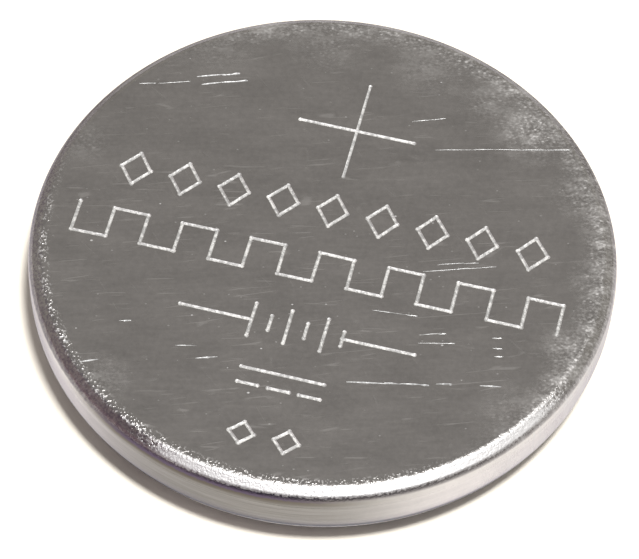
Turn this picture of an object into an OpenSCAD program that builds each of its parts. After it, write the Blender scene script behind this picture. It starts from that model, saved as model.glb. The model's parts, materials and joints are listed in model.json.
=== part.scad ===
// Lithium coin cell, standing on its negative cap with the positive face up.
// The origin is the middle of the negative contact face, and +Z points out of
// the positive face. All round pieces are turned from a half section in the
// plane of radius and height, in millimetres.
//
// A drawn steel can holds the stack of electrodes. A stepped steel cap closes
// it, with a moulded gasket between the two, and the can's wall is rolled in
// over the gasket to seal the cell.

/* [Cell] */
// Outer diameter of the cell
cell_d = 20; // [16:0.5:24.5]
// Overall height, from one contact face to the other
cell_h = 3.2; // [2.9:0.1:5]

/* [Positive can] */
// Sheet thickness of the can
can_wall = 0.25; // [0.2:0.01:0.3]
// Outside radius of the edge round the positive face
face_edge_r = 0.6; // [0.4:0.05:0.8]
// Height at which the straight wall ends and the crimp begins
bend_z = 1.9; // [1.75:0.05:2.1]
// Angle of the wide bend, before the tight one that ends in the lip
bend_angle = 48; // [40:1:55]
// Outside radius of the tight bend
knuckle_r = 0.85; // [0.83:0.01:0.95]
// Height of the crimp's lip above the negative contact face
lip_z = 0.2; // [0.1:0.01:0.3]

/* [Negative cap] */
// Sheet thickness of the cap
cap_wall = 0.2; // [0.15:0.01:0.22]
// Outside radius of the edge round the negative contact face
cap_edge_r = 0.35; // [0.25:0.01:0.4]
// Radius of the hollow between the cap's neck and its shoulder
neck_fillet_r = 0.1; // [0.05:0.01:0.15]

/* [Gasket] */
// Thickness of the gasket where it is squeezed between can and cap
seal_t = 0.25; // [0.2:0.01:0.3]
// Width of the gasket ring that shows between lip and cap
seal_ring_w = 0.25; // [0.15:0.01:0.4]
// How far that ring stands back from the lip
seal_ring_back = 0.08; // [0.02:0.01:0.15]
// Thickness of the gasket's floor, under the end of the cap's skirt
seal_floor_t = 0.3; // [0.2:0.05:0.35]
// Thickness of the gasket's inner leg
seal_leg_t = 0.35; // [0.2:0.05:0.4]
// How far above the crimp's bend the inner leg ends
seal_leg_gap = 0.2; // [0.05:0.05:0.3]

/* [Electrodes] */
// Thickness of the lithium disc
lithium_t = 0.6; // [0.4:0.05:0.8]
// Width of the cap's flat floor left bare round the lithium disc
lithium_gap = 0.4; // [0.05:0.05:1.5]
// Thickness of the separator
separator_t = 0.25; // [0.1:0.01:0.3]
// Height of the separator's turned-up rim, over its floor
separator_rim_h = 1.1; // [0.4:0.05:1.2]
// Clearance round the separator, inside the cap's neck
separator_gap = 0.05; // [0.03:0.01:0.3]
// Clearance between the cathode pellet and the separator's rim
pellet_gap = 0.05; // [0.02:0.01:0.3]
// Chamfer on both edges of the cathode pellet
pellet_chamfer = 0.15; // [0.05:0.01:0.3]

/* [Collector grid] */
// Thickness of the grid
grid_t = 0.1; // [0.05:0.01:0.15]
// How far the grid's edge lies inside the pellet's
grid_inset = 0.6; // [0.2:0.05:1.5]
// Width of a strand
strand_w = 0.18; // [0.1:0.01:0.3]
// Distance between neighbouring strands
strand_pitch = 1.25; // [1.2:0.05:2]
// Angle at which the two sets of strands cross
strand_angle = 60; // [50:5:90]

/* [Hidden] */
$fn = 96;

// Steps in a quarter turn of a section's round stretches
arc_steps = 14;

// --- can, and the rolled rim that the gasket and the cap's skirt follow
cell_r = cell_d / 2;
floor_z = cell_h - can_wall;                    // inside of the positive face
face_edge_c = [cell_r - face_edge_r, cell_h - face_edge_r];
wide_r = knuckle_r + (bend_z - lip_z - knuckle_r) / sin(bend_angle);
wide_c = [cell_r - wide_r, bend_z];
knuckle_c = wide_c + (wide_r - knuckle_r) * [cos(bend_angle), -sin(bend_angle)];
lip_r = knuckle_c[0];

// --- depths of the nested layers below the can's outer surface
gasket_depth = can_wall;
skirt_depth = gasket_depth + seal_t;
well_depth = skirt_depth + cap_wall;

// --- cap
neck_r = lip_r - seal_ring_w;
neck_inner_r = neck_r - cap_wall;
shoulder_z = knuckle_c[1] - knuckle_r + skirt_depth;
neck_fillet_c = [neck_r + neck_fillet_r, shoulder_z - neck_fillet_r];
cap_edge_c = [neck_r - cap_edge_r, cap_edge_r];
skirt_z = floor_z - seal_floor_t;               // end of the cap's skirt

// --- gasket
seal_ring_z = lip_z + seal_ring_back;
leg_r = cell_r - well_depth - seal_leg_t;
leg_z = bend_z + seal_leg_gap;

// --- stack of electrodes, from the cap up to the can's floor
lithium_z = cap_wall;
lithium_r = cap_edge_c[0] - lithium_gap;
separator_z = lithium_z + lithium_t;
separator_r = neck_inner_r - separator_gap;
pellet_z = separator_z + separator_t;
pellet_r = separator_r - separator_t - pellet_gap;
grid_z = floor_z - grid_t;
grid_r = pellet_r - grid_inset;

// Points of a round stretch about centre c, from angle a0 to a1
function arc(c, r, a0, a1) =
    let (n = max(2, ceil(abs(a1 - a0) / 90 * arc_steps)))
    [for (i = [0:n]) let (a = a0 + (a1 - a0) * i / n) c + r * [cos(a), sin(a)]];

function reverse(list) = [for (i = [len(list) - 1:-1:0]) list[i]];

// Both bends of the crimp, at a depth below the can's outer surface. They run
// from the end of the straight wall down to the lip's radius.
function crimp(depth) = concat(
    arc(wide_c, wide_r - depth, 0, -bend_angle),
    arc(knuckle_c, knuckle_r - depth, -bend_angle, -90));

// The edge of the positive face, at a depth below the can's outer surface,
// from the wall up to the face
function face_edge(depth) = arc(face_edge_c, face_edge_r - depth, 0, 90);

// The hollow between the cap's neck and shoulder, at a depth inside the cap,
// from the shoulder down to the neck
function neck_fillet(depth) = arc(neck_fillet_c, neck_fillet_r + depth, 90, 180);

// The edge of the negative contact face, at a depth inside the cap, from the
// neck down to the face
function cap_edge(depth) = arc(cap_edge_c, cap_edge_r - depth, 0, -90);

module turned(section) {
    rotate_extrude() polygon(section);
}

// Drawn cup with its open end rolled in
module positive_can() {
    color("silver") turned(concat(
        [[0, floor_z], [0, cell_h]],
        reverse(face_edge(0)),
        crimp(0),
        reverse(crimp(can_wall)),
        face_edge(can_wall)));
}

// Stepped cap: contact face, neck, shoulder, and the skirt that the gasket grips
module negative_cap() {
    color("lightgray") turned(concat(
        [[0, cap_wall], [0, 0]],
        reverse(cap_edge(0)),
        reverse(neck_fillet(0)),
        reverse(crimp(skirt_depth)),
        [[cell_r - skirt_depth, skirt_z], [cell_r - well_depth, skirt_z]],
        crimp(well_depth),
        neck_fillet(cap_wall),
        cap_edge(cap_wall)));
}

// Moulded ring that wraps the cap's skirt and fills the room inside the crimp
module sealing_gasket() {
    color("whitesmoke") turned(concat(
        [[neck_r, seal_ring_z], [lip_r, seal_ring_z]],
        reverse(crimp(gasket_depth)),
        face_edge(gasket_depth),
        [[leg_r, floor_z], [leg_r, leg_z]],
        [[cell_r - well_depth, leg_z], [cell_r - well_depth, skirt_z],
         [cell_r - skirt_depth, skirt_z]],
        crimp(skirt_depth),
        neck_fillet(0)));
}

// Disc punched from lithium foil and pressed on to the cap
module lithium_anode() {
    color("gainsboro") translate([0, 0, lithium_z]) cylinder(h = lithium_t, r = lithium_r);
}

// Fleece tray: a flat floor, with a rim turned up round the pellet
module separator() {
    rim_c = [separator_r - separator_t, pellet_z];
    color("ivory") turned(concat(
        [[0, pellet_z], [0, separator_z]],
        arc(rim_c, separator_t, -90, 0),
        [[separator_r, pellet_z + separator_rim_h],
         [separator_r - separator_t, pellet_z + separator_rim_h],
         rim_c]));
}

// Pressed tablet with both edges broken
module cathode_pellet() {
    color("dimgray") turned([
        [0, pellet_z],
        [pellet_r - pellet_chamfer, pellet_z],
        [pellet_r, pellet_z + pellet_chamfer],
        [pellet_r, grid_z - pellet_chamfer],
        [pellet_r - pellet_chamfer, grid_z],
        [0, grid_z]]);
}

// One set of parallel strands, long enough to cross the whole grid
module strands(angle) {
    count = floor((grid_r - strand_w) / strand_pitch);
    rotate(angle) for (i = [-count:count])
        translate([0, i * strand_pitch]) square([2 * grid_r, strand_w], center = true);
}

// Punched steel grid that carries the current from the pellet to the can
module collector_grid() {
    color("darkgray") translate([0, 0, grid_z]) linear_extrude(grid_t) intersection() {
        circle(grid_r);
        union() {
            strands(strand_angle / 2);
            strands(-strand_angle / 2);
        }
    }
}

positive_can();
negative_cap();
sealing_gasket();
lithium_anode();
separator();
cathode_pellet();
collector_grid();
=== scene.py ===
"""Looks of the lithium coin cell: a scratched steel can over a gasket and a stepped cap.

The can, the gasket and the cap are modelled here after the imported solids, with the
engraved marks and the scratches cut into the can's face. The pieces inside keep
their solids and get a finish each.
"""

import json
import logging
import math
import random
from collections.abc import Sequence
from dataclasses import dataclass, field
from enum import Enum
from functools import reduce
from itertools import pairwise

import bpy
from mathutils import Matrix, Vector

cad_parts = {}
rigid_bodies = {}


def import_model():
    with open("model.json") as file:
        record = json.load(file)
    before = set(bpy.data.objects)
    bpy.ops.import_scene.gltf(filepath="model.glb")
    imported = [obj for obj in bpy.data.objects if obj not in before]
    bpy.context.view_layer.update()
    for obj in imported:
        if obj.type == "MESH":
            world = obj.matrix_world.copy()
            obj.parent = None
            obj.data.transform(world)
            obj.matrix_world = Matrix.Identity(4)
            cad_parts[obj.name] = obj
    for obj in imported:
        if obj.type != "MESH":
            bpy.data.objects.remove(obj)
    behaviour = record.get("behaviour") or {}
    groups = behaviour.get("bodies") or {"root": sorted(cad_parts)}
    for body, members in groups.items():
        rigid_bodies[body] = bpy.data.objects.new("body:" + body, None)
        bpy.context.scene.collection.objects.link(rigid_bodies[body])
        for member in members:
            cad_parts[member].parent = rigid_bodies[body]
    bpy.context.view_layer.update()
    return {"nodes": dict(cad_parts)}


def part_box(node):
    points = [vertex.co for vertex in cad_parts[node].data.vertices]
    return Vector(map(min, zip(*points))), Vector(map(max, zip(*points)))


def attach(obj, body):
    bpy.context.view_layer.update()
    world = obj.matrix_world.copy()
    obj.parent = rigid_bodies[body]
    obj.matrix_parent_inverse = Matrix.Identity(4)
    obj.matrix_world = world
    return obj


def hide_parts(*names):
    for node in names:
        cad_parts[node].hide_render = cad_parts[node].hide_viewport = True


LOG = logging.getLogger("coin_cell")
BODY = "root"
MM = 0.001
WELD = 0.0002 * MM
SMOOTH_ANGLE = 16.0
SEGMENTS = 288

Point = tuple[float, float]
Band = tuple[float, float, float, float]
Color = tuple[float, float, float]
Socket = bpy.types.NodeSocket


# ---- shader building


class Shader:
    """A material's node tree, with short calls for the nodes that the finishes share."""

    def __init__(self, owner: bpy.types.Material | bpy.types.World) -> None:
        """Start on an empty tree.

        Args:
            owner: The material or world whose nodes these are.
        """
        self.owner = owner
        owner.use_nodes = True
        self.tree = owner.node_tree
        self.tree.nodes.clear()

    @classmethod
    def material(cls, name: str) -> "Shader":
        """Start a new material."""
        return cls(bpy.data.materials.new(name))

    def node(self, kind: str, **settings: object) -> bpy.types.Node:
        """Add a node.

        Args:
            kind: The node's type, without the ShaderNode prefix.
            settings: Attributes to set on the node.

        Returns:
            The new node.
        """
        made = self.tree.nodes.new("ShaderNode" + kind)
        for key, value in settings.items():
            setattr(made, key, value)
        return made

    def feed(self, socket: Socket, value: object) -> None:
        """Link an output to a socket, or set the socket's own value.

        Args:
            socket: The input socket.
            value: An output socket, a number or a colour.
        """
        if isinstance(value, Socket):
            self.tree.links.new(value, socket)
        else:
            socket.default_value = value

    def fill(self, made: bpy.types.Node, **values: object) -> bpy.types.Node:
        """Link or set a node's inputs.

        Args:
            made: The node.
            values: Its inputs by name, with underscores for spaces.

        Returns:
            The node.
        """
        for key, value in values.items():
            self.feed(made.inputs[key.replace("_", " ")], value)
        return made

    def math(self, operation: str, *values: object, clamp: bool = False) -> Socket:
        """Do one sum on numbers.

        Args:
            operation: Name of the Math node's operation.
            values: Outputs or numbers, in the order of the node's inputs.
            clamp: Whether to keep the result from 0 to 1.

        Returns:
            The result.
        """
        made = self.node("Math", operation=operation, use_clamp=clamp)
        for socket, value in zip(made.inputs, values):
            self.feed(socket, value)
        return made.outputs[0]

    def product(self, *values: object) -> Socket:
        """Multiply two or more outputs or numbers."""
        return reduce(lambda first, second: self.math("MULTIPLY", first, second), values)

    def most(self, first: object, second: object) -> Socket:
        """Give the larger of two outputs or numbers."""
        return self.math("MAXIMUM", first, second)

    def total(self, base: object, *terms: tuple[object, object]) -> Socket:
        """Add terms to an output or number, each of them a value and its weight."""
        return reduce(lambda result, term: self.math("MULTIPLY_ADD", *term, result), terms, base)

    def centred(self, noise: Socket) -> Socket:
        """Move noise from 0 to 1 so that it goes as far below 0 as above."""
        return self.math("SUBTRACT", noise, 0.5)

    def ramp(self, value: object, low: float, high: float, out_low: float = 0.0,
             out_high: float = 1.0) -> Socket:
        """Map a value smoothly from one range to another.

        Args:
            value: The value to map.
            low: Start of its range.
            high: End of its range.
            out_low: Result at the start.
            out_high: Result at the end.

        Returns:
            The mapped value.
        """
        made = self.node("MapRange", interpolation_type="SMOOTHSTEP")
        for socket, given in zip(made.inputs, (value, low, high, out_low, out_high)):
            self.feed(socket, given)
        return made.outputs[0]

    def fade(self, value: object, low: float, high: float) -> Socket:
        """Map a value smoothly from 1 at the low end of a range to 0 at the high end."""
        return self.ramp(value, low, high, 1.0, 0.0)

    def band(self, value: object, levels: Band) -> Socket:
        """Give 1 inside a band and 0 outside, from where it starts, is full, starts to fade, and ends."""
        return self.product(self.ramp(value, *levels[:2]), self.fade(value, *levels[2:]))

    def millimetres(self, turn: float = 0.0, stretch: Sequence[float] = (1, 1, 1)) -> Socket:
        """Give the object's own coordinates in millimetres.

        Args:
            turn: Angle in degrees by which the pattern's X axis is turned about Z.
            stretch: Factors along the turned axes.

        Returns:
            The coordinates.
        """
        coordinates = self.node("TexCoord").outputs["Object"]
        turned = self.fill(self.node("Mapping", vector_type="POINT"), Vector=coordinates,
                           Rotation=(0, 0, -math.radians(turn)), Scale=(1 / MM, 1 / MM, 1 / MM))
        scaled = self.node("VectorMath", operation="MULTIPLY")
        self.feed(scaled.inputs[0], turned.outputs[0])
        self.feed(scaled.inputs[1], tuple(stretch))
        return scaled.outputs[0]

    def round_coordinates(self, along: float, across: float) -> Socket:
        """Give coordinates that follow the cell's round: turn, radius and height.

        Args:
            along: Factor on the turn about the axis, in radians.
            across: Factor on the radius and the height, in millimetres.

        Returns:
            The coordinates.
        """
        x, y, z = self.split(self.millimetres())
        joined = self.node("CombineXYZ")
        pairs = ((self.math("ARCTAN2", y, x), along), (self.radius(), across), (z, across))
        for socket, pair in zip(joined.inputs, pairs):
            self.feed(socket, self.product(*pair))
        return joined.outputs[0]

    def split(self, vector: Socket) -> tuple[Socket, ...]:
        """Split a vector into its X, Y and Z."""
        return tuple(self.fill(self.node("SeparateXYZ"), Vector=vector).outputs)

    def radius(self) -> Socket:
        """Give the distance from the cell's axis, in millimetres."""
        x, y, _ = self.split(self.millimetres())
        return self.math("SQRT", self.total(self.product(x, x), (y, y)))

    def noise(self, vector: Socket, scale: float, detail: float = 2.0, roughness: float = 0.5) -> Socket:
        """Add noise from 0 to 1, by its features per unit, its finer layers and their weight."""
        made = self.node("TexNoise")
        self.fill(made, Vector=vector, Scale=scale, Detail=detail, Roughness=roughness)
        return made.outputs["Fac"]

    def cells(self, vector: Socket, scale: float = 1.0,
              feature: str = "F1") -> bpy.types.bpy_prop_collection:
        """Add a pattern of cells, by its cells per unit and its feature, and give its outputs."""
        return self.fill(self.node("TexVoronoi", feature=feature), Vector=vector, Scale=scale).outputs

    def blend(self, share: object, first: object, second: object) -> Socket:
        """Blend two colours.

        Args:
            share: How much of the second, from 0 to 1.
            first: First colour, as an output or a colour.
            second: Second colour.

        Returns:
            The blended colour.
        """
        made = self.node("Mix", data_type="RGBA")
        self.feed(made.inputs["Factor"], share)
        for name, value in (("A", first), ("B", second)):
            socket = next(s for s in made.inputs if s.name == name and s.type == "RGBA")
            self.feed(socket, value if isinstance(value, Socket) else (*value, 1.0))
        return next(s for s in made.outputs if s.type == "RGBA")

    def bump(self, height_um: Socket) -> Socket:
        """Turn a height in micrometres into a surface normal."""
        made = self.fill(self.node("Bump"), Strength=1.0, Distance=0.001 * MM, Height=height_um)
        return made.outputs["Normal"]

    def surface(self, **values: object) -> bpy.types.Material:
        """Finish the material with one Principled shader.

        Args:
            values: Its inputs by name, with underscores for spaces.

        Returns:
            The material.
        """
        shader = self.fill(self.node("BsdfPrincipled"), **values)
        self.fill(self.node("OutputMaterial"), Surface=shader.outputs[0])
        return self.owner


# ---- finishes


@dataclass(frozen=True)
class Layers:
    """One noise: its features per unit along each coordinate, its finer layers, and their weight."""

    stretch: tuple[float, ...]
    detail: float
    weight: float


@dataclass(frozen=True)
class Side:
    """A side of the can: its turn from the front in degrees, and its mask's cosines and levels there."""

    turn: float
    start: float
    full: float
    low: float = 0.0
    high: float = 1.0


@dataclass(frozen=True)
class Weights:
    """How much each texture adds to the steel's shade, to its roughness, or to its height in micrometres."""

    base: float = 0.0
    grain: float = 0.0
    mottle: float = 0.0
    crystals: float = 0.0
    drawn: float = 0.0
    marks: float = 0.0
    crumbs_and_glints: float = 0.0
    scuff_highlight: float = 0.0


@dataclass(frozen=True)
class WornPatch:
    """A place on the face that is rubbed brighter, by its middle and reach in millimetres."""

    x: float
    y: float
    reach: float
    amount: float


@dataclass(frozen=True)
class Hairlines:
    """One set of hairlines: its turn in degrees, its pattern's length and gap factors, and its weight."""

    turn: float
    length: float
    gap: float
    weight: float


@dataclass(frozen=True)
class Specks:
    """One size of specks: how close and how wide they are, how many are left out, and their strength."""

    scale: float
    size: float
    left_out: float
    amount: float


@dataclass(frozen=True)
class CanSteel:
    """Rolled steel of the can: grain one way on the face, drawn lines on the wall, a rubbed edge, and light
    and shade painted into its colour: a highlight, glints, a sheen, shade and dark reflections.

    Radii and heights are in millimetres. A pair is where a mask starts and is full, or starts to
    fade and ends, and a band is both pairs.
    """

    color: Color = (0.425, 0.40, 0.38)
    # Rubbed patches, scratches and a painted sheen near the face's back-right rim take this bright colour.
    worn_and_sheen: Color = (0.88, 0.86, 0.84)
    # Painted highlight: the edge is painted near white on the front, where the lamp's highlight falls. The
    # painted glints take this colour too.
    scuff_and_highlight: Color = (0.86, 0.85, 0.84)
    # Painted dark reflection: a brown band above the wall at the front, and a dark edge at the back rim.
    painted_dark_reflection: Color = (0.13, 0.105, 0.075)
    # Painted shade: the wall is darkened on its front-left side, as a painted reflection of shaded floor.
    painted_wall_shade: Color = (0.262, 0.246, 0.213)
    # Painted shade: the can is painted darker below the wall's foot, where its rim shades it.
    painted_underside_shade: Color = (0.18, 0.175, 0.17)
    # Painted dark reflection: a purple line along the front of the edge. The same colour paints dark spots
    # on the left shoulder.
    shade_line_and_spots: Color = (0.14, 0.105, 0.165)
    rim_tint: Color = (0.66, 0.64, 0.70)

    shade: Weights = Weights(base=0.745, grain=0.14, mottle=0.45, crystals=0.38, drawn=0.6)
    rough: Weights = Weights(base=0.25, grain=0.08, marks=0.35, crumbs_and_glints=0.3, scuff_highlight=0.26)
    height: Weights = Weights(grain=0.25, mottle=5.0, crystals=1.2, drawn=1.2, crumbs_and_glints=-8.0)
    wall_shade: float = 0.90
    hairline_share: float = 0.18
    scuff_highlight_share: float = 0.9

    grain_turn: float = 16.0
    front_turn: float = -78.0
    face_height: float = 3.2
    face_edge: Point = (9.3, 9.6)
    round_edge: Point = (9.4, 9.5)
    wall_radius: Point = (9.9, 9.97)
    wall_foot: Point = (1.8, 1.9)
    wall_top: Point = (2.8, 2.9)
    # Heights where the painted shade under the wall's foot fades in.
    painted_underside_top: Point = (1.3, 1.55)
    # Radii of the painted sheen near the face's rim.
    sheen_radius: Point = (8.5, 9.5)
    scuff_inside: Point = (9.43, 9.65)
    scuff_outside: Point = (9.82, 9.88)
    # Radii of the painted glints along the edge.
    edge_crumb_glint_ring: Band = (9.2, 9.44, 9.55, 9.7)
    # Heights of the painted dark line under the edge.
    shade_line_band: Band = (2.78, 2.85, 2.92, 2.99)
    shade_line_radius: Point = (9.5, 9.6)
    spot_radius: Point = (9.42, 9.6)
    # Heights of the painted brown reflection above the wall, and of the painted dark edge at the back.
    dark_reflection_band: Band = (2.52, 2.82, 2.88, 2.97)
    back_edge_shade_band: Band = (2.75, 2.85, 3.0, 3.09)

    rolled: Layers = Layers((0.8, 9, 1), 5, 0.65)
    fine: Layers = Layers((2.5, 30, 1), 3, 0.6)
    mottled: Layers = Layers((0.5, 1, 1), 4, 0.6)
    clouded: Layers = Layers((1.4, 2.6, 1), 5, 0.7)
    dotted: Layers = Layers((8, 11, 1), 3, 0.7)
    drawn: Layers = Layers((2.5, 11), 4, 0.65)
    ragged: Layers = Layers((100, 7), 3, 0.65)
    hairy: Layers = Layers((110, 11), 2, 0.6)
    crumbly: Layers = Layers((100, 10.6), 1, 0.6)
    streaked: Layers = Layers((120, 9), 2, 0.6)
    shade_line_wobble: Layers = Layers((70, 2), 3, 0.65)
    dark_spot_noise: Layers = Layers((105, 11), 2, 0.6)
    dark_reflection_wobble: Layers = Layers((4, 4), 3, 0.6)

    # The side where the edge gets its painted highlight.
    scuff_highlight_side: Side = Side(10, 0.55, 0.96)
    # The side where the edge gets its painted glints.
    edge_crumb_glint_side: Side = Side(-40, 0.2, 0.75)
    # The side where the wall gets its painted shade.
    painted_wall_shade_side: Side = Side(-15, 0.74, 1.0, 0.0, 0.94)
    # Side of the painted dark line.
    shade_line_side: Side = Side(-22, 0.88, 0.985, 0.12, 0.85)
    spot_side: Side = Side(-70, 0.35, 0.9, 0.0, 0.5)
    # Sides of the painted brown reflection and of the painted dark edge at the back.
    dark_reflection_side: Side = Side(-22, 0.8, 0.99, 0.08, 0.85)
    back_edge_shade_side: Side = Side(170, -0.1, 0.5, 0.0, 0.9)
    # Side of the painted sheen: the back-right of the face.
    sheen_side: Side = Side(125, -0.2, 0.5, 0.0, 0.85)

    patches: tuple[WornPatch, ...] = (
        WornPatch(6.0, 6.6, 2.1, 0.95), WornPatch(8.3, 4.3, 1.7, 0.75), WornPatch(9.3, 0.8, 1.3, 0.7),
        WornPatch(4.2, 7.4, 1.6, 0.5), WornPatch(9.0, -2.2, 1.5, 0.75), WornPatch(-8.9, 2.0, 1.2, 0.35),
        WornPatch(-2.0, 8.7, 2.2, 0.4), WornPatch(-5.8, -7.2, 1.5, 0.4), WornPatch(2.0, 8.7, 2.4, 0.45),
        WornPatch(7.6, -5.0, 1.6, 0.3), WornPatch(-5.6, 7.4, 2.0, 0.3))
    scratches: tuple[Hairlines, ...] = (
        Hairlines(16.0, 0.10, 1.5, 1.0), Hairlines(21.0, 0.14, 2.3, 1.0), Hairlines(-38.0, 0.17, 1.0, 0.35))
    speck_sizes: tuple[Specks, ...] = (
        Specks(1.1, 0.05, 0.62, 0.9), Specks(2.6, 0.085, 0.8, 0.9), Specks(3.6, 0.12, 0.62, 0.35))

    def build(self) -> bpy.types.Material:
        """Build the material."""
        s = Shader.material("can_steel")
        radius, z = s.radius(), s.split(s.millimetres())[2]
        flat = s.fade(radius, *self.face_edge)
        wall = self.wall(s, radius, z)
        grain, fine, mottle = (self.along_grain(s, made) for made in (self.rolled, self.fine, self.mottled))
        drawn = self.around(s, self.drawn)
        crystals = s.noise(s.millimetres(), 5.0, 3.0, 0.7)
        scuff_highlight = self.scuffs_and_highlight(s, radius)
        edge_crumb_glints = self.edge_crumb_glints(s, radius)
        # Painted glints: specks on the face and bits along the edge are painted bright.
        crumbs_and_glints = s.most(s.product(self.specks(s), flat), edge_crumb_glints)
        marks = s.most(s.product(self.hairlines(s), flat, self.hairline_share), self.worn_patches_and_sheen(s, mottle))

        weigh = self.shade
        shade = s.total(weigh.base, (s.product(grain, flat), weigh.grain), (s.centred(mottle), weigh.mottle),
                        (crystals, weigh.crystals), (wall, s.total(self.wall_shade, (drawn, weigh.drawn))))
        steel = s.node("VectorMath", operation="SCALE")
        steel.inputs[0].default_value = self.color
        s.feed(steel.inputs["Scale"], shade)
        color = steel.outputs[0]
        # Painted shade on the front-left of the wall, broken up by the drawn lines.
        painted_wall_shading = s.product(self.side(s, self.painted_wall_shade_side), wall, s.ramp(drawn, 0.3, 0.7, 1.0, 0.84))
        # The blends below paint shade, dark reflections, a highlight, a sheen and glints into the steel, as
        # well as its wear.
        for share, over in ((painted_wall_shading, self.painted_wall_shade), (s.fade(z, *self.painted_underside_top), self.painted_underside_shade),
                            (self.painted_dark_reflections(s, z), self.painted_dark_reflection), (self.shade_line_and_spots_mask(s, radius, z), self.shade_line_and_spots),
                            (marks, self.worn_and_sheen),
                            (s.most(s.product(scuff_highlight, self.scuff_highlight_share), crumbs_and_glints), self.scuff_and_highlight)):
            color = s.blend(share, color, over)

        weigh = self.rough
        rough = s.total(weigh.base, (s.centred(grain), weigh.grain), (marks, weigh.marks),
                        (crumbs_and_glints, weigh.crumbs_and_glints), (scuff_highlight, weigh.scuff_highlight))

        weigh = self.height
        rounded = s.product(s.ramp(radius, *self.round_edge), s.math("SUBTRACT", 1.0, wall))
        rubbed = s.math("MULTIPLY_ADD", rounded, 0.5, scuff_highlight, clamp=True)
        height = s.total(0.0, (s.product(fine, flat), weigh.grain), (crystals, weigh.crystals),
                         (drawn, s.product(wall, weigh.drawn)), (mottle, weigh.mottle),
                         (edge_crumb_glints, weigh.crumbs_and_glints), (self.rubbing(s), rubbed))
        return s.surface(Base_Color=color, Metallic=1.0, Roughness=rough,
                         Specular_Tint=(*self.rim_tint, 1.0), Normal=s.bump(height))

    def along_grain(self, s: Shader, layers: Layers) -> Socket:
        """Give noise that follows the direction in which the sheet was rolled."""
        return s.noise(s.millimetres(self.grain_turn, layers.stretch), 1.0, layers.detail, layers.weight)

    def around(self, s: Shader, layers: Layers) -> Socket:
        """Give noise that follows the can's round."""
        return s.noise(s.round_coordinates(*layers.stretch), 1.0, layers.detail, layers.weight)

    def side(self, s: Shader, side: Side) -> Socket:
        """Give the mask of one side of the can.

        Args:
            s: The material's shader.
            side: Which side.

        Returns:
            The mask.
        """
        x, y, _ = s.split(s.millimetres())
        turn = math.radians(self.front_turn + side.turn)
        towards = s.total(s.product(x, math.cos(turn)), (y, math.sin(turn)))
        return s.ramp(s.math("DIVIDE", towards, s.radius()), side.start, side.full, side.low, side.high)

    def worn_patches_and_sheen(self, s: Shader, mottle: Socket) -> Socket:
        """Give how much the face is rubbed bright at each place, with a painted sheen near its back-right
        rim.

        Args:
            s: The material's shader.
            mottle: Slow noise that breaks the patches up.

        Returns:
            The mask.
        """
        place = s.millimetres()
        patched: object = 0.0
        for patch in self.patches:
            away = s.node("VectorMath", operation="DISTANCE")
            s.feed(away.inputs[0], place)
            away.inputs[1].default_value = (patch.x, patch.y, self.face_height)
            patched = s.most(s.ramp(away.outputs["Value"], 0.0, patch.reach, patch.amount, 0.0), patched)
        # Painted sheen: the face is painted brighter towards its back-right rim, where light scatters off
        # it.
        sheen = s.product(self.side(s, self.sheen_side), s.ramp(s.radius(), *self.sheen_radius))
        cloud = s.total(s.product(self.along_grain(s, self.clouded), 0.7), (mottle, 0.3))
        dots = s.ramp(self.along_grain(s, self.dotted), 0.38, 0.85)
        cell = s.cells(s.millimetres(self.grain_turn, (4.5, 7, 0)))
        sparks = s.product(s.fade(cell["Distance"], 0.1, 0.34), s.ramp(s.split(cell["Color"])[0], 0.6, 0.8))
        crowd = s.total(sparks, (dots, 0.95))
        broken = s.math("MULTIPLY_ADD", s.ramp(cloud, 0.42, 0.68), 0.55, crowd, clamp=True)
        return s.product(s.most(patched, sheen), broken)

    def hairlines(self, s: Shader) -> Socket:
        """Give the fine scratches, 1 on a scratch and 0 beside it.

        Args:
            s: The material's shader.

        Returns:
            The mask.
        """
        total: object = 0.0
        for line in self.scratches:
            place = s.millimetres(line.turn, (line.length, line.gap, 0))
            strand = s.cells(place, feature="DISTANCE_TO_EDGE")
            thin = s.ramp(strand["Distance"], 0.004 * line.gap, 0.014 * line.gap, line.weight, 0.0)
            broken = s.ramp(s.noise(s.millimetres(line.turn + 3, (0.7, 2.0, 1)), 1.3, 1.0), 0.56, 0.70)
            total = s.math("MULTIPLY_ADD", thin, broken, total, clamp=True)
        return total

    def specks(self, s: Shader) -> Socket:
        """Give the small specks, painted bright as glints, 1 on a speck and 0 beside it.

        Args:
            s: The material's shader.

        Returns:
            The mask.
        """
        total: object = 0.0
        crowd = s.noise(s.millimetres(), 0.45, 2.0, 0.5)
        for speck in self.speck_sizes:
            cell = s.cells(s.millimetres(self.grain_turn, (0.7, 1.0, 0)), speck.scale)
            dot = s.ramp(cell["Distance"], speck.size * 0.4, speck.size, speck.amount, 0.0)
            chance = s.total(s.split(cell["Color"])[0], (crowd, 0.5))
            chosen = s.ramp(chance, speck.left_out + 0.3, speck.left_out + 0.42)
            total = s.most(s.product(dot, chosen), total)
        return total

    def scuffs_and_highlight(self, s: Shader, radius: Socket) -> Socket:
        """Give the rubbed edge, 1 where the surface is roughened and 0 where it is whole. It is kept to the
        front, where the lamp's highlight falls, and is painted near white there, so it is part wear and part
        painted highlight.

        Args:
            s: The material's shader.
            radius: Distance from the axis, in millimetres.

        Returns:
            The mask.
        """
        ragged, hairs = self.around(s, self.ragged), self.around(s, self.hairy)
        inner = s.ramp(s.total(radius, (s.centred(ragged), 0.36)), *self.scuff_inside)
        outer = s.fade(s.total(radius, (s.centred(hairs), 0.12)), *self.scuff_outside)
        side = s.ramp(s.math("ADD", self.side(s, self.scuff_highlight_side), hairs), 0.75, 1.15)
        return s.product(inner, outer, side)

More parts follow.
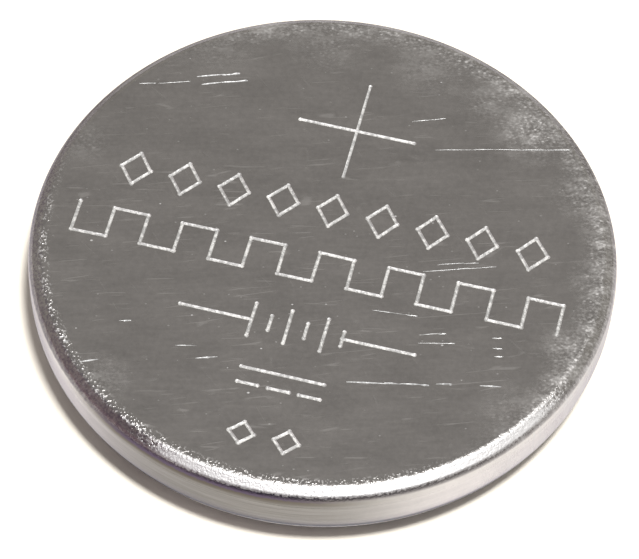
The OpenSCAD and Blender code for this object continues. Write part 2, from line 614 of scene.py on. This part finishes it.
    def edge_crumb_glints(self, s: Shader, radius: Socket) -> Socket:
        """Give the painted glints: crumb-like bits along the front-left edge of the face, painted bright.

        Args:
            s: The material's shader.
            radius: Distance from the axis, in millimetres.

        Returns:
            The mask.
        """
        drift = s.noise(s.millimetres(), 1.6, 2.0, 0.5)
        grown = s.total(self.around(s, self.crumbly), (drift, 0.35))
        crumbs_and_glints = s.ramp(grown, 0.70, 0.85, 0.0, 0.85)
        return s.product(crumbs_and_glints, s.band(radius, self.edge_crumb_glint_ring), self.side(s, self.edge_crumb_glint_side))

    def rubbing(self, s: Shader) -> Socket:
        """Give the depth in micrometres of the scuffing over the edge."""
        speck = s.noise(s.millimetres(), 14.0, 3.0, 0.65)
        return s.total(s.product(speck, 15.0), (self.around(s, self.streaked), 8.0))

    def wall(self, s: Shader, radius: Socket, z: Socket) -> Socket:
        """Give 1 on the wall and below it, and 0 on the face and its round edge."""
        outside = s.most(s.ramp(radius, *self.wall_radius), s.fade(z, *self.wall_foot))
        return s.product(outside, s.fade(z, *self.wall_top))

    def shade_line_and_spots_mask(self, s: Shader, radius: Socket, z: Socket) -> Socket:
        """Give a painted dark reflection in a line under the rubbed edge at the front, and dark spots on the
        left.

        Args:
            s: The material's shader.
            radius: Distance from the axis, in millimetres.
            z: Height, in millimetres.

        Returns:
            The mask.
        """
        level = s.total(z, (s.centred(self.around(s, self.shade_line_wobble)), 0.12))
        line = s.product(s.band(level, self.shade_line_band), self.side(s, self.shade_line_side),
                         s.ramp(radius, *self.shade_line_radius))
        spots = s.product(s.ramp(self.around(s, self.dark_spot_noise), 0.42, 0.62), self.side(s, self.spot_side),
                          s.ramp(radius, *self.spot_radius), s.ramp(z, *self.shade_line_band[:2]))
        return s.most(line, spots)

    def painted_dark_reflections(self, s: Shader, z: Socket) -> Socket:
        """Give the painted dark reflections: a brown band above the wall at the front, painted where the
        edge would reflect shaded floor, and a painted dark edge at the back.

        Args:
            s: The material's shader.
            z: Height, in millimetres.

        Returns:
            The mask.
        """
        level = s.total(z, (s.centred(self.around(s, self.dark_reflection_wobble)), 0.12))
        reflection_band = s.product(s.band(level, self.dark_reflection_band), self.side(s, self.dark_reflection_side))
        back_edge_shade = s.product(s.band(z, self.back_edge_shade_band), self.side(s, self.back_edge_shade_side))
        return s.most(reflection_band, back_edge_shade)


@dataclass(frozen=True)
class GrooveSteel:
    """Torn steel at the bottom of an engraved mark or a scratch, bright and rough."""

    name: str
    color: Color
    roughness: float
    beads: float
    torn: float
    bead_scale: float = 8.0
    torn_scale: float = 36.0
    dim: float = 0.66

    def build(self) -> bpy.types.Material:
        """Build the material."""
        s = Shader.material(self.name)
        beads = s.noise(s.millimetres(), self.bead_scale, 2.0, 0.6)
        torn = s.noise(s.millimetres(), self.torn_scale, 2.0, 0.6)
        height = s.total(s.product(beads, self.beads), (torn, self.torn))
        color = s.blend(s.ramp(beads, 0.4, 0.6), self.color, tuple(self.dim * c for c in self.color))
        return s.surface(Base_Color=color, Metallic=1.0, Roughness=self.roughness, Normal=s.bump(height))


@dataclass(frozen=True)
class CapSteel:
    """Plain rolled steel of the cap."""

    color: Color = (0.46, 0.45, 0.43)
    roughness: float = 0.28
    grain_turn: float = 40.0
    dim: float = 0.9

    def build(self) -> bpy.types.Material:
        """Build the material."""
        s = Shader.material("cap_steel")
        grain = s.noise(s.millimetres(self.grain_turn, (1.2, 24, 1)), 1.0, 4.0, 0.6)
        mottle = s.noise(s.millimetres(), 0.8, 3.0, 0.5)
        height = s.total(s.product(grain, 0.5), (mottle, 5.0))
        rough = s.total(self.roughness, (s.centred(grain), 0.12))
        color = s.blend(mottle, self.color, tuple(self.dim * c for c in self.color))
        return s.surface(Base_Color=color, Metallic=1.0, Roughness=rough, Normal=s.bump(height))


@dataclass(frozen=True)
class Plain:
    """A finish with a speckled colour and a grained surface, for the gasket and the pieces inside."""

    name: str
    color: Color
    second: Color
    roughness: float
    metallic: float = 0.0
    grain: float = 6.0
    height: float = 6.0
    stretch: tuple[float, float, float] = (1, 1, 1)
    turn: float = 25.0

    def build(self) -> bpy.types.Material:
        """Build the material."""
        s = Shader.material(self.name)
        grain = s.noise(s.millimetres(self.turn, self.stretch), self.grain, 4.0, 0.65)
        patches = s.noise(s.millimetres(), 0.7, 3.0, 0.5)
        share = s.ramp(s.total(s.product(grain, 0.6), (patches, 0.4)), 0.35, 0.65)
        color = s.blend(share, self.color, self.second)
        rough = s.total(self.roughness, (s.centred(patches), 0.15))
        normal = s.bump(s.product(grain, self.height))
        return s.surface(Base_Color=color, Metallic=self.metallic, Roughness=rough, Normal=normal)


Finish = CanSteel | GrooveSteel | CapSteel | Plain


# ---- modelling help


def arc(centre: Point, radius: float, start: float, end: float, step: float = 5.0) -> list[Point]:
    """List the points of a round stretch of a half section.

    Args:
        centre: Its centre, as radius and height.
        radius: Its radius.
        start: Angle of its first point, in degrees, counted up from the radius axis.
        end: Angle of its last point.
        step: Largest angle between two points.

    Returns:
        The points, in order.
    """
    count = max(2, math.ceil(abs(end - start) / step))
    angles = [math.radians(start + (end - start) * i / count) for i in range(count + 1)]
    return [(centre[0] + radius * math.cos(a), centre[1] + radius * math.sin(a)) for a in angles]


def turned(name: str, section: Sequence[Point], finishes: Sequence[Finish],
           ring: bool = False) -> bpy.types.Object:
    """Model a round shell by extruding one circle along a half section.

    Args:
        name: Name of the new object.
        section: Points of radius and height in metres, in order. Unless ring is set, the
            first and the last are the rims of two flat discs that close the shell.
        finishes: What its material slots are to hold.
        ring: Whether the section is a closed loop that doesn't reach the axis.

    Returns:
        The new object, with outward normals.
    """
    bpy.ops.object.select_all(action="DESELECT")
    radius, height = section[0]
    bpy.ops.mesh.primitive_circle_add(vertices=SEGMENTS, radius=radius, location=(0, 0, height),
                                      fill_type="NOTHING" if ring else "NGON")
    shell = bpy.context.object
    shell.name = shell.data.name = name
    bpy.ops.object.transform_apply(location=True, rotation=True, scale=True)
    bpy.ops.object.mode_set(mode="EDIT")
    bpy.ops.mesh.select_all(action="SELECT")
    extrude = bpy.ops.mesh.extrude_edges_move if ring else bpy.ops.mesh.extrude_region_move
    loop = [*section, section[0]] if ring else section
    for (r0, z0), (r1, z1) in pairwise(loop):
        extrude(TRANSFORM_OT_translate={"value": (0, 0, z1 - z0)})
        if r1 != r0:
            bpy.ops.transform.resize(value=(r1 / r0, r1 / r0, 1), center_override=(0, 0, z1))
    bpy.ops.mesh.select_all(action="SELECT")
    bpy.ops.mesh.remove_doubles(threshold=WELD)
    bpy.ops.mesh.normals_make_consistent(inside=False)
    bpy.ops.object.mode_set(mode="OBJECT")
    for finish in finishes:
        shell.data.materials.append(finish.build())
    return shell


def select(piece: bpy.types.Object) -> None:
    """Make one piece the only selected object and the active one."""
    bpy.ops.object.select_all(action="DESELECT")
    piece.select_set(True)
    bpy.context.view_layer.objects.active = piece


def dress(piece: bpy.types.Object, node: str) -> None:
    """Give a modelled piece its smooth shading and its place in the frame.

    Args:
        piece: The piece, with its materials.
        node: The CAD node that it stands for.
    """
    select(piece)
    bpy.ops.object.shade_smooth_by_angle(angle=math.radians(SMOOTH_ANGLE))
    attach(piece, BODY)
    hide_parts(node)
    LOG.info("%s: %d faces", piece.name, len(piece.data.polygons))


# ---- marks on the face


class Tool(Enum):
    """What cut a groove: its half width and depth in millimetres, and the slot of its finish."""

    GRAVER = (0.060, 0.030, 1)
    WORN_GRAVER = (0.050, 0.010, 1)
    SCRATCH = (0.011, 0.004, 2)
    DEEP_SCRATCH = (0.034, 0.016, 2)

    @property
    def runs_out(self) -> bool:
        """Tell whether the groove runs out to nothing at both ends, as a scratch does."""
        return self in (Tool.SCRATCH, Tool.DEEP_SCRATCH)


@dataclass(frozen=True)
class Stroke:
    """One straight groove in the face, from start to end, in millimetres."""

    start: Point
    end: Point
    tool: Tool = Tool.GRAVER


def polyline(points: Sequence[Point], closed: bool = False) -> list[Stroke]:
    """Join points by strokes, and the last to the first if the line is closed."""
    loop = [*points, points[0]] if closed else points
    return [Stroke(a, b) for a, b in pairwise(loop)]


@dataclass(frozen=True)
class Row:
    """One engraved row: its height on the face, the number and pitch of its signs, and their half sizes."""

    y: float
    count: int
    pitch: float
    half: Point

    def places(self) -> list[float]:
        """List the middles of the signs, from left to right."""
        return [(i - (self.count - 1) / 2) * self.pitch for i in range(self.count)]

    def lozenges(self) -> list[Stroke]:
        """List the strokes of open lozenges along the row."""
        (w, h), y = self.half, self.y
        return [stroke for x in self.places()
                for stroke in polyline([(x - w, y), (x, y + h), (x + w, y), (x, y - h)], closed=True)]


@dataclass(frozen=True)
class FaceMarks:
    """Engraved rows on the positive face: a plus sign over rows of plain ornament, in millimetres."""

    plus_y: float = 4.87
    plus_arm: float = 2.03
    lozenges: Row = Row(1.34, 9, 1.74, (0.52, 0.66))
    corners: Row = Row(-1.06, 15, 1.2, (0.6, 0.6))
    plates: Row = Row(-3.65, 6, 0.62, (0.3, 0.66))
    lead_end: float = 4.0
    dashes: Row = Row(-5.83, 3, 1.05, (0.35, 0.3))
    spots: Row = Row(-7.98, 2, 1.5, (0.42, 0.42))

    def strokes(self) -> list[Stroke]:
        """List every stroke of every row."""
        return [*self.plus(), *self.lozenges.lozenges(), *self.meander(), *self.cells(), *self.current(),
                *self.spots.lozenges()]

    def plus(self) -> list[Stroke]:
        """List the strokes of the plus sign, the upright one lightly cut."""
        y, arm = self.plus_y, self.plus_arm
        return [Stroke((-arm, y), (arm, y)), Stroke((0, y - arm), (0, y + arm), Tool.WORN_GRAVER)]

    def meander(self) -> list[Stroke]:
        """List the strokes of the square meander, which goes up or down at each corner."""
        points: list[Point] = []
        side = -self.corners.half[1]
        for x in self.corners.places():
            points += [(x, self.corners.y - side), (x, self.corners.y + side)]
            side = -side
        return polyline(points)

    def cells(self) -> list[Stroke]:
        """List the strokes of the circuit symbol for a battery: long and short plates between two leads."""
        y, (short, tall), places = self.plates.y, self.plates.half, self.plates.places()
        made = [Stroke((x, y - h), (x, y + h)) for x, h in zip(places, [tall, short] * len(places))]
        ends = [(-self.lead_end, places[0]), (places[-1], self.lead_end)]
        return made + [Stroke((a, y), (b, y)) for a, b in ends]

    def current(self) -> list[Stroke]:
        """List the strokes of the sign for direct current: a bar over three dashes."""
        y, (w, h), places = self.dashes.y, self.dashes.half, self.dashes.places()
        return [Stroke((places[0] - w, y + h), (places[-1] + w, y + h)),
                *(Stroke((x - w, y - h), (x + w, y - h)) for x in places)]


@dataclass(frozen=True)
class FaceWear:
    """Scratches in the positive face, each given by its middle, its length and its turn in degrees.

    Each is drawn in short runs. Lengths are in millimetres, and a gap below zero is an overlap.
    """

    deep: Sequence[tuple[float, float, float, float]] = (
        (-5.3, 6.0, 1.5, 21), (-5.0, 5.75, 1.6, 21), (3.4, -4.95, 2.7, 12), (5.2, -4.5, 0.5, 14),
        (6.7, -4.2, 0.7, 14), (-7.3, -6.1, 0.3, 20), (-6.3, -6.6, 0.6, 25), (-2.6, -5.5, 0.7, 20))
    fine: Sequence[tuple[float, float, float, float]] = (
        (-7.6, 5.0, 0.6, 19), (-6.7, 5.3, 1.1, 19), (2.3, 6.0, 1.2, 20), (5.1, 5.4, 4.7, 15),
        (4.7, 0.1, 2.5, 19), (4.6, 0.3, 1.4, 17), (3.0, -2.2, 1.5, 6), (4.4, -2.7, 0.9, 19),
        (4.6, -3.0, 1.2, 14), (-5.6, -4.8, 0.4, 20), (-3.4, -5.2, 0.7, 14), (6.5, -2.3, 0.3, 15),
        (6.6, -2.7, 0.3, 15), (6.7, -3.0, 0.3, 15))
    run: Point = (0.5, 1.6)
    gap: Point = (-0.25, 0.04)
    wander: float = 0.02
    shortest: float = 0.08
    seed: int = 11

    def strokes(self) -> list[Stroke]:
        """List every scratch, each broken into short runs that wander off its line."""
        made: list[Stroke] = []
        shake = random.Random(self.seed)
        for rows, tool in ((self.deep, Tool.DEEP_SCRATCH), (self.fine, Tool.SCRATCH)):
            for x, y, length, turn in rows:
                along = Vector((math.cos(math.radians(turn)), math.sin(math.radians(turn))))
                beside = Vector((-along.y, along.x))
                place = -length / 2
                while place < length / 2:
                    reach = min(shake.uniform(*self.run), length / 2 - place)
                    near, far = (Vector((x, y)) + along * (place + step)
                                 + beside * shake.uniform(-self.wander, self.wander)
                                 for step in (0.0, reach))
                    if reach > self.shortest:
                        made.append(Stroke(tuple(near), tuple(far), tool))
                    place += reach + shake.uniform(*self.gap)
        return made


@dataclass(frozen=True)
class Graving:
    """How the grooves are cut: a blunt cone is drawn out along each stroke."""

    tip_corners: int = 12
    tip_turn: float = 15.0
    blunt: float = 0.3
    flare: float = 0.7
    lift: float = 0.5
    slots: int = 3
    jitter: float = 0.012 * MM
    ball: float = 1.25
    point: float = 0.25
    deepest: Point = (0.3, 0.6)
    seed: int = 7

    def tip(self, tool: Tool) -> bpy.types.Object:
        """Model a tool's tip at the origin, with its point down.

        Args:
            tool: Which tool.

        Returns:
            The tip, whose cut at height 0 has the tool's half width.
        """
        half_width, depth, slot = tool.value
        half, tall = half_width * MM, depth * MM
        bpy.ops.object.select_all(action="DESELECT")
        bpy.ops.mesh.primitive_cone_add(
            vertices=self.tip_corners, radius1=self.blunt * half,
            radius2=(1 + self.flare * self.lift) * half, depth=(1 + self.lift) * tall,
            location=(0, 0, (self.lift - 1) / 2 * tall), rotation=(0, 0, math.radians(self.tip_turn)))
        tip = bpy.context.object
        bpy.ops.object.transform_apply(location=True, rotation=True, scale=True)
        for _ in range(self.slots):
            tip.data.materials.append(None)
        for face in tip.data.polygons:
            face.material_index = slot
        return tip

    def cutters(self, strokes: Sequence[Stroke], top: float) -> bpy.types.Collection:
        """Model the cutters of every stroke.

        Args:
            strokes: The strokes.
            top: Height of the face, in metres.

        Returns:
            The cutters.
        """
        cutters = bpy.data.collections.new("cutters")
        bpy.context.scene.collection.children.link(cutters)
        tips = {tool: self.tip(tool) for tool in Tool}
        shake = random.Random(self.seed)
        for stroke in strokes:
            start, end = (Vector(p) * MM + self.jitter * Vector((shake.uniform(-1, 1), shake.uniform(-1, 1)))
                          for p in (stroke.start, stroke.end))
            runs = [(start, end, 1.0), (start, start, self.ball), (end, end, self.ball)]
            if stroke.tool.runs_out:
                middle = start.lerp(end, shake.uniform(*self.deepest))
                runs = [(middle, start, self.point), (middle, end, self.point)]
            for near, far, taper in runs:
                run = far - near
                mesh = tips[stroke.tool].data.copy()
                for vertex in mesh.vertices:
                    if vertex.co.x > 0 or not run.length:
                        vertex.co = vertex.co * taper + Vector((run.length, 0, 0))
                turn = Matrix.Rotation(math.atan2(run.y, run.x), 4, "Z")
                mesh.transform(Matrix.Translation((near.x, near.y, top)) @ turn)
                cutters.objects.link(bpy.data.objects.new("groove_cutter", mesh))
        for tip in tips.values():
            bpy.data.objects.remove(tip)
        return cutters


# ---- the pieces


@dataclass
class Crimp:
    """The rolled rim that can, gasket and cap share, with sizes in metres."""

    cell_radius: float
    cell_height: float
    can_wall: float = 0.25 * MM
    seal: float = 0.25 * MM
    cap_wall: float = 0.2 * MM
    face_edge: float = 0.6 * MM
    bend_z: float = 1.9 * MM
    bend_angle: float = 48.0
    knuckle: float = 0.85 * MM
    lip_z: float = 0.2 * MM
    ring_width: float = 0.25 * MM
    ring_back: float = 0.08 * MM
    skirt_gap: float = 0.3 * MM
    cap_edge: float = 0.35 * MM
    neck_fillet: float = 0.1 * MM
    face_support: float = 0.03 * MM

    def __post_init__(self) -> None:
        """Work out the two bends' centres and the places that follow from them."""
        turn = math.radians(self.bend_angle)
        self.wide = self.knuckle + (self.bend_z - self.lip_z - self.knuckle) / math.sin(turn)
        self.wide_centre = (self.cell_radius - self.wide, self.bend_z)
        offset = self.wide - self.knuckle
        self.knuckle_centre = (self.wide_centre[0] + offset * math.cos(turn),
                               self.wide_centre[1] - offset * math.sin(turn))
        self.lip_radius = self.knuckle_centre[0]
        self.neck_radius = self.lip_radius - self.ring_width
        self.edge_centre = (self.cell_radius - self.face_edge, self.cell_height - self.face_edge)
        self.floor_z = self.cell_height - self.can_wall
        self.skirt = self.can_wall + self.seal
        self.well = self.skirt + self.cap_wall
        self.skirt_z = self.floor_z - self.skirt_gap
        shoulder_z = self.knuckle_centre[1] - self.knuckle + self.skirt
        self.hollow_centre = (self.neck_radius + self.neck_fillet, shoulder_z - self.neck_fillet)

    def bends(self, depth: float) -> list[Point]:
        """List both bends at a depth below the can's outside, from the wall to the lip."""
        wide = arc(self.wide_centre, self.wide - depth, 0, -self.bend_angle, 3.0)
        return wide + arc(self.knuckle_centre, self.knuckle - depth, -self.bend_angle, -90)[1:]

    def closed(self, section: list[Point]) -> list[Point]:
        """Add a last point just inside a flat face's edge, so that the face's rim is shaded flat."""
        radius, height = section[-1]
        return [*section, (radius - self.face_support, height)]

    def face_corner(self, depth: float) -> list[Point]:
        """List the edge of the positive face at a depth, from the wall to the face."""
        return arc(self.edge_centre, self.face_edge - depth, 0, 90, 4.0)


@dataclass
class PositiveCan:
    """The drawn can, with a rolled rim, and marks and wear cut into its face."""

    crimp: Crimp
    steel: CanSteel = CanSteel()
    engraved: GrooveSteel = GrooveSteel("engraved_steel", (0.95, 0.94, 0.92), 0.6, 12.0, 4.0)
    scratched: GrooveSteel = GrooveSteel("scratched_steel", (0.84, 0.84, 0.83), 0.46, 5.0, 2.0)
    marks: FaceMarks = FaceMarks()
    wear: FaceWear = FaceWear()
    graving: Graving = Graving()
    draw_line_z: float = 2.53 * MM
    draw_line_half: float = 0.03 * MM
    draw_line_depth: float = 0.01 * MM
    rubbed: Point = (45.0, 70.0)
    rubbed_rounding: Point = (0.12, 0.88)
    edge_step: float = 4.0

    def worn_corner(self) -> list[Point]:
        """List the edge of the positive face, with a narrow flat rubbed into its round.

        Returns:
            The points, from the wall to the face.
        """
        c = self.crimp
        low = arc(c.edge_centre, c.face_edge, 0, self.rubbed[0], self.edge_step)
        high = arc(c.edge_centre, c.face_edge, self.rubbed[1], 90, self.edge_step)
        start, end = Vector(low[-1]), Vector(high[0])
        return low + [tuple(start.lerp(end, share)) for share in self.rubbed_rounding] + high

    def section(self) -> list[Point]:
        """List the half section from the inside of the face, round the lip, to the outside of the face."""
        c = self.crimp
        inside = c.face_corner(c.can_wall)[::-1] + c.bends(c.can_wall)
        line = [(c.cell_radius - d, self.draw_line_z + h) for d, h in
                ((0, -self.draw_line_half), (self.draw_line_depth, 0), (0, self.draw_line_half))]
        return c.closed(inside + c.bends(0)[::-1] + line + self.worn_corner())

    def build(self) -> None:
        """Model, engrave and dress the can."""
        shell = turned("positive_can_shell", self.section(), (self.steel, self.engraved, self.scratched))
        self.engrave(shell)
        dress(shell, "positive_can")

    def engrave(self, shell: bpy.types.Object) -> None:
        """Cut every stroke and scratch into the face.

        Args:
            shell: The can.
        """
        strokes = self.marks.strokes() + self.wear.strokes()
        cutters = self.graving.cutters(strokes, self.crimp.cell_height)
        cut = shell.modifiers.new("engraving", "BOOLEAN")
        cut.operation = "DIFFERENCE"
        cut.operand_type = "COLLECTION"
        cut.collection = cutters
        cut.solver = "MANIFOLD"
        select(shell)
        bpy.ops.object.modifier_apply(modifier=cut.name)
        for cutter in list(cutters.objects):
            bpy.data.objects.remove(cutter)
        bpy.data.collections.remove(cutters)


@dataclass
class SealingGasket:
    """The moulded ring between the can's lip and the cap."""

    crimp: Crimp
    leg: float = 0.35 * MM
    leg_gap: float = 0.2 * MM
    sag: float = 0.03 * MM
    finish: Plain = Plain("gasket_plastic", (0.66, 0.65, 0.60), (0.60, 0.59, 0.55), 0.42,
                          grain=9.0, height=2.0)

    def section(self) -> list[Point]:
        """List the closed half section, from the ring that shows round to the cap's neck."""
        c = self.crimp
        ring_z = c.lip_z + c.ring_back
        inside, outside = c.cell_radius - c.well, c.cell_radius - c.skirt
        leg_r = inside - self.leg
        leg_z = c.bend_z + self.leg_gap
        middle = ((c.neck_radius + c.lip_radius) / 2, ring_z + self.sag)
        return [(c.neck_radius, ring_z), middle, (c.lip_radius, ring_z),
                *c.bends(c.can_wall)[::-1], *c.face_corner(c.can_wall),
                (leg_r, c.floor_z), (leg_r, leg_z), (inside, leg_z),
                (inside, c.skirt_z), (outside, c.skirt_z),
                *c.bends(c.skirt), *arc(c.hollow_centre, c.neck_fillet, 90, 180, 15.0)]

    def build(self) -> None:
        """Model and dress the gasket."""
        ring = turned("sealing_gasket_ring", self.section(), [self.finish], ring=True)
        dress(ring, "sealing_gasket")


@dataclass
class NegativeCap:
    """The stepped cap with the negative contact face."""

    crimp: Crimp
    finish: CapSteel = CapSteel()
    bend_step: float = 10.0

    def section(self) -> list[Point]:
        """List the half section from the inside of the contact face, round the skirt, to its outside."""
        c = self.crimp
        edge = (c.neck_radius - c.cap_edge, c.cap_edge)
        inside = [*arc(edge, c.cap_edge - c.cap_wall, -90, 0, self.bend_step),
                  *arc(c.hollow_centre, c.neck_fillet + c.cap_wall, 180, 90, self.bend_step),
                  *c.bends(c.well)[::-1]]
        rim = [(c.cell_radius - c.well, c.skirt_z), (c.cell_radius - c.skirt, c.skirt_z)]
        outside = [*c.bends(c.skirt), *arc(c.hollow_centre, c.neck_fillet, 90, 180, self.bend_step),
                   *arc(edge, c.cap_edge, 0, -90)]
        return c.closed(inside + rim + outside)

    def build(self) -> None:
        """Model and dress the cap."""
        shell = turned("negative_cap_shell", self.section(), [self.finish])
        dress(shell, "negative_cap")


@dataclass
class Electrodes:
    """The pieces inside, which keep their solids."""

    nodes: dict[str, bpy.types.Object]
    finishes: dict[str, Plain] = field(default_factory=lambda: {
        "lithium_anode": Plain("lithium_metal", (0.62, 0.62, 0.60), (0.50, 0.50, 0.49), 0.45, metallic=1.0),
        "separator": Plain("separator_fleece", (0.86, 0.85, 0.82), (0.72, 0.71, 0.68), 0.9, grain=3.0,
                           height=30.0, stretch=(1, 8, 1)),
        "cathode_pellet": Plain("cathode_mix", (0.03, 0.03, 0.032), (0.055, 0.053, 0.05), 0.75, grain=12.0,
                                height=14.0),
        "collector_grid": Plain("grid_steel", (0.48, 0.47, 0.45), (0.40, 0.39, 0.38), 0.35, metallic=1.0,
                                grain=4.0, height=1.0, stretch=(1, 10, 1)),
    })

    def build(self) -> None:
        """Give each solid its finish."""
        for name, finish in self.finishes.items():
            mesh = self.nodes[name].data
            mesh.materials.clear()
            mesh.materials.append(finish.build())
            LOG.info("%s: finish %s", name, finish.name)


# ---- studio


@dataclass
class Studio:
    """Floor, light and camera."""

    focus: Vector
    distance: float = 100.0 * MM
    elevation: float = 55.5
    azimuth: float = 12.0
    roll: float = 2.4
    lens: float = 164.25
    aim_right: float = -0.096 * MM
    aim_up: float = -0.367 * MM
    wall_behind: Color = (0.50, 0.49, 0.46)
    ceiling: Color = (0.385, 0.38, 0.375)
    room_high: Color = (0.20, 0.20, 0.20)
    room_front: Color = (0.065, 0.053, 0.092)
    room_left: Color = (0.38, 0.28, 0.31)
    room_right: Color = (0.32, 0.30, 0.30)
    skirting: Color = (0.09, 0.078, 0.105)
    key_share: float = 0.86
    key_azimuth: float = 43.0
    key_elevation: float = 75.5
    key_distance: float = 0.5
    key_radius: float = 0.035
    floor_size: float = 1.2
    floor_drop: float = 0.01 * MM
    floor_lit: Color = (0.76, 0.75, 0.74)
    floor_mirrored: Color = (0.87, 0.87, 0.852)
    floor_seen: Color = (1.2, 1.13, 1.0)
    backdrop: Color = (1.0, 1.0, 1.0)

    def build(self) -> None:
        """Build everything that isn't part of the cell."""
        self.camera()
        self.floor()
        self.world()
        self.key()
        bpy.context.scene.view_settings.view_transform = "Standard"

    def back(self, azimuth: float, elevation: float) -> Vector:
        """Give the direction from the cell at degrees round it, 0 in front, and degrees above the floor."""
        a, e = math.radians(azimuth), math.radians(elevation)
        return Vector((math.sin(a) * math.cos(e), -math.cos(a) * math.cos(e), math.sin(e)))

    def camera(self) -> None:
        """Place the camera."""
        data = bpy.data.cameras.new("camera")
        data.lens = self.lens
        data.sensor_width = 36.0
        data.clip_start, data.clip_end = 5 * MM, 10.0
        back = self.back(self.azimuth, self.elevation)
        roll = Matrix.Rotation(math.radians(self.roll), 3, "Z").to_quaternion()
        look = (-back).to_track_quat("-Z", "Y") @ roll
        right, up = look @ Vector((1, 0, 0)), look @ Vector((0, 1, 0))
        aim = self.focus + right * self.aim_right + up * self.aim_up
        place = self.focus + back * self.distance
        turn = (aim - place).normalized().rotation_difference((-back)).inverted()
        camera = bpy.data.objects.new("camera", data)
        camera.location = place
        camera.rotation_mode = "QUATERNION"
        camera.rotation_quaternion = turn @ look
        bpy.context.scene.collection.objects.link(camera)
        bpy.context.scene.camera = camera

    def floor(self) -> None:
        """Lay a white floor, pure white to the camera where no shadow falls."""
        bpy.ops.object.select_all(action="DESELECT")
        bpy.ops.mesh.primitive_plane_add(size=self.floor_size, location=(0, 0, -self.floor_drop))
        floor = bpy.context.object
        floor.name = "floor"
        s = Shader.material("white_floor")
        path = s.node("LightPath").outputs
        color = s.blend(path["Is Glossy Ray"], self.floor_lit, self.floor_mirrored)
        color = s.blend(path["Is Camera Ray"], color, self.floor_seen)
        paper = s.fill(s.node("BsdfDiffuse"), Color=color)
        s.fill(s.node("OutputMaterial"), Surface=paper.outputs[0])
        floor.data.materials.append(s.owner)

    def world(self) -> None:
        """Light the room: pale walls behind the cell, a dim room in front, and dark skirting all round."""
        world = bpy.data.worlds.new("room")
        bpy.context.scene.world = world
        s = Shader(world)
        x, y, height = s.split(s.node("TexCoord").outputs["Generated"])
        turn = math.radians(self.azimuth)
        behind = s.total(s.product(x, -math.sin(turn)), (y, math.cos(turn)))
        pale = s.blend(s.ramp(height, 0.45, 0.85), self.wall_behind, self.ceiling)
        right = s.total(s.product(x, math.cos(turn)), (y, math.sin(turn)))
        low = s.blend(s.ramp(right, -0.9, -0.3), self.room_left, self.room_front)
        low = s.blend(s.ramp(right, 0.0, 0.7), low, self.room_right)
        dim = s.blend(s.ramp(height, 0.5, 0.95), low, self.room_high)
        side = s.total(behind, (right, 0.15))
        color = s.blend(s.ramp(side, -0.3, 0.3), dim, pale)
        foot = s.blend(s.ramp(right, -0.9, -0.3), self.room_left, self.skirting)
        color = s.blend(s.ramp(height, 0.04, 0.18), foot, color)
        seen = s.node("LightPath").outputs["Is Camera Ray"]
        light = s.fill(s.node("Background"), Color=s.blend(seen, color, self.backdrop), Strength=1.0)
        s.fill(s.node("OutputWorld"), Surface=light.outputs[0])

    def key(self) -> None:
        """Hang a small round lamp high in front."""
        data = bpy.data.lights.new("key", "AREA")
        data.shape = "DISK"
        data.size = 2 * self.key_radius
        slope = math.sin(math.radians(self.key_elevation))
        data.energy = self.key_share * (math.pi * self.key_distance) ** 2 / slope
        back = self.back(self.key_azimuth, self.key_elevation)
        lamp = bpy.data.objects.new("key", data)
        lamp.location = self.focus + back * self.key_distance
        lamp.rotation_mode = "QUATERNION"
        lamp.rotation_quaternion = (-back).to_track_quat("-Z", "Y")
        lamp.visible_camera = False
        bpy.context.scene.collection.objects.link(lamp)


# ---- main


def main() -> None:
    """Build the cell and its studio."""
    logging.basicConfig(level=logging.INFO, format="%(name)s: %(message)s")
    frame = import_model()
    low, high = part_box("positive_can")
    crimp = Crimp(cell_radius=(high.x - low.x) / 2, cell_height=high.z)
    PositiveCan(crimp).build()
    SealingGasket(crimp).build()
    NegativeCap(crimp).build()
    Electrodes(frame["nodes"]).build()
    Studio(focus=Vector((0, 0, high.z / 2))).build()


if __name__ == "__main__":
    main()
